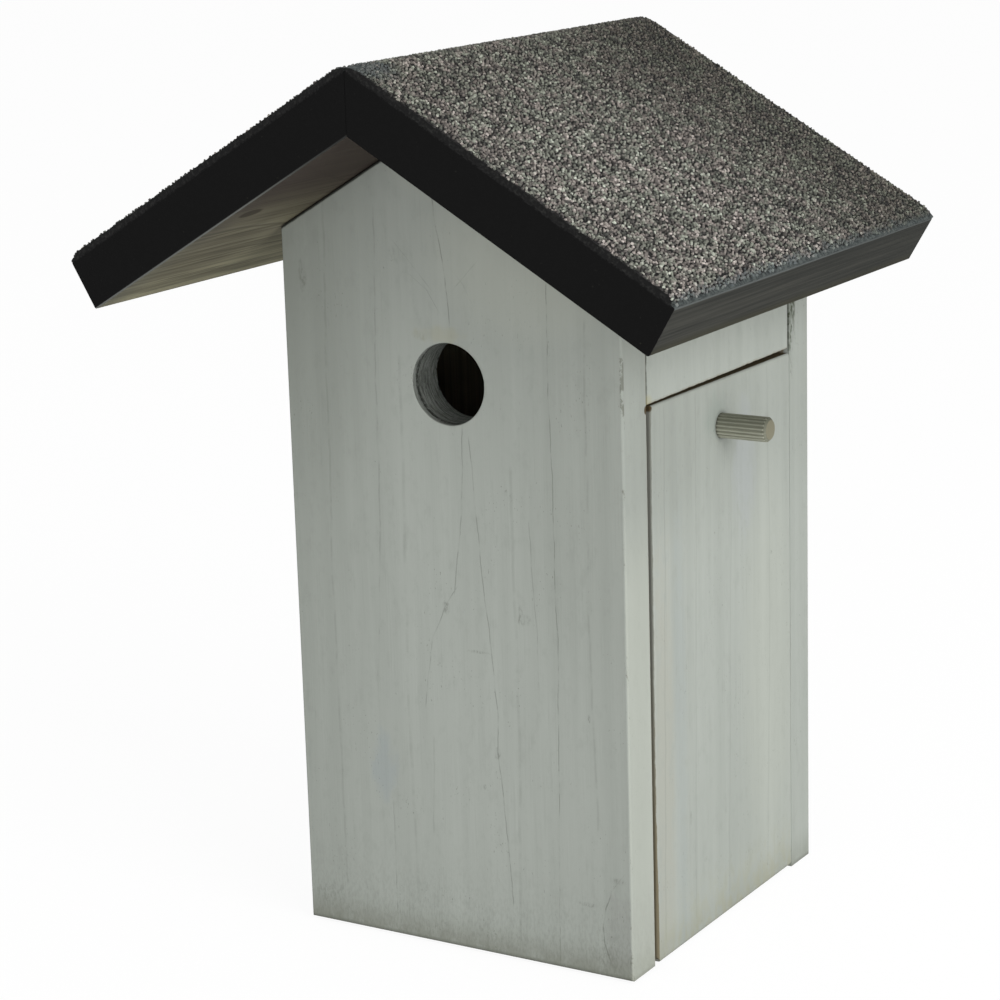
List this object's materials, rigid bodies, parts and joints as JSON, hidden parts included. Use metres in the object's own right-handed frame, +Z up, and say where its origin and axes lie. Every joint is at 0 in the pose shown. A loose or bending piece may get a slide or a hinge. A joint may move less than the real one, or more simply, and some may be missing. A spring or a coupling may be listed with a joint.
{
  "type": "nest box",
  "caption": "Wooden nest box with a felted saddle roof, a round entrance hole and a bottom-hung side door with a fluted peg.",
  "frame": {"origin": "middle of the footprint of the box's walls, on the surface the box stands on", "axes": "+Z up; +X to the right seen from the front, towards the door; the front with the entrance hole faces -Y"},
  "size_m": [0.2608, 0.223, 0.3594],
  "materials": {
    "washed_board": "thin grey-green whitewash, weathered",
    "bare_board": "bare sawn softwood",
    "peg_wood": "bare fluted dowel, weathered",
    "roof_board": "dark stain, front ends painted black, underside bare and weathered",
    "roof_felt": "bitumen felt with mineral granules, rough",
    "pin_steel": "plain steel"
  },
  "bodies": {
    "box": {"front_board": "washed_board", "back_board": "washed_board", "left_side_board": "washed_board", "right_top_strip": "washed_board", "hinge_pin_front": "pin_steel", "hinge_pin_back": "pin_steel", "floor_board": "bare_board", "roof_board_left": "roof_board", "roof_board_right": "roof_board", "roof_felt": "roof_felt"},
    "side_door": {"door": "washed_board", "door_peg": "peg_wood"}
  },
  "joints": [
    {"name": "door_hinge", "type": "hinge", "parent": "box", "child": "side_door", "pos_m": [0.0695, 0, 0.016], "axis": [0, 1, 0], "range_deg": [0, 80]}
  ]
}
